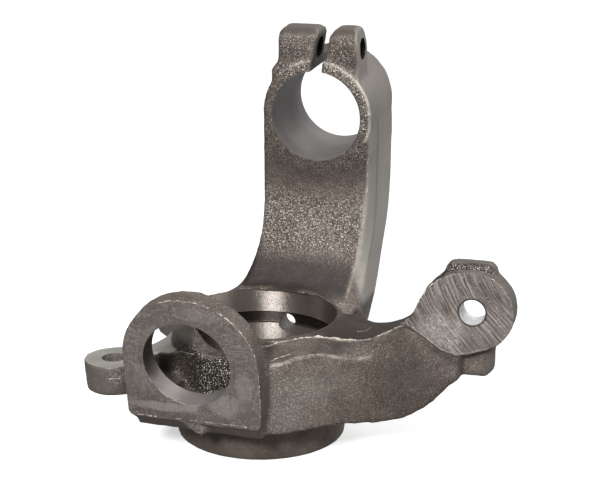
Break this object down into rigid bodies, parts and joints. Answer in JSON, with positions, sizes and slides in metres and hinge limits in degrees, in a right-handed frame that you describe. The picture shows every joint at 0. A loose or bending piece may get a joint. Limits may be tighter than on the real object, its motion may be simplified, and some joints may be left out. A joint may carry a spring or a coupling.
{
  "type": "steering knuckle",
  "caption": "Cast front steering knuckle with a wheel-bearing hub ring, a strut clamp on an arm, a ball-joint flange, a steering arm and caliper ears.",
  "frame": {"origin": "on the hub axis, in the plane of the hub's outboard rim that the part stands on", "axes": "+Z along the hub axis, inboard; +Y towards the strut clamp (up in the car); +X towards the steering arm's tie-rod hole"},
  "size_m": [0.2225, 0.2019, 0.2236],
  "materials": {
    "cast_iron": "rough as-cast skin with bright machined faces"
  },
  "bodies": {
    "root": {"knuckle_casting": "cast_iron"}
  },
  "joints": []
}
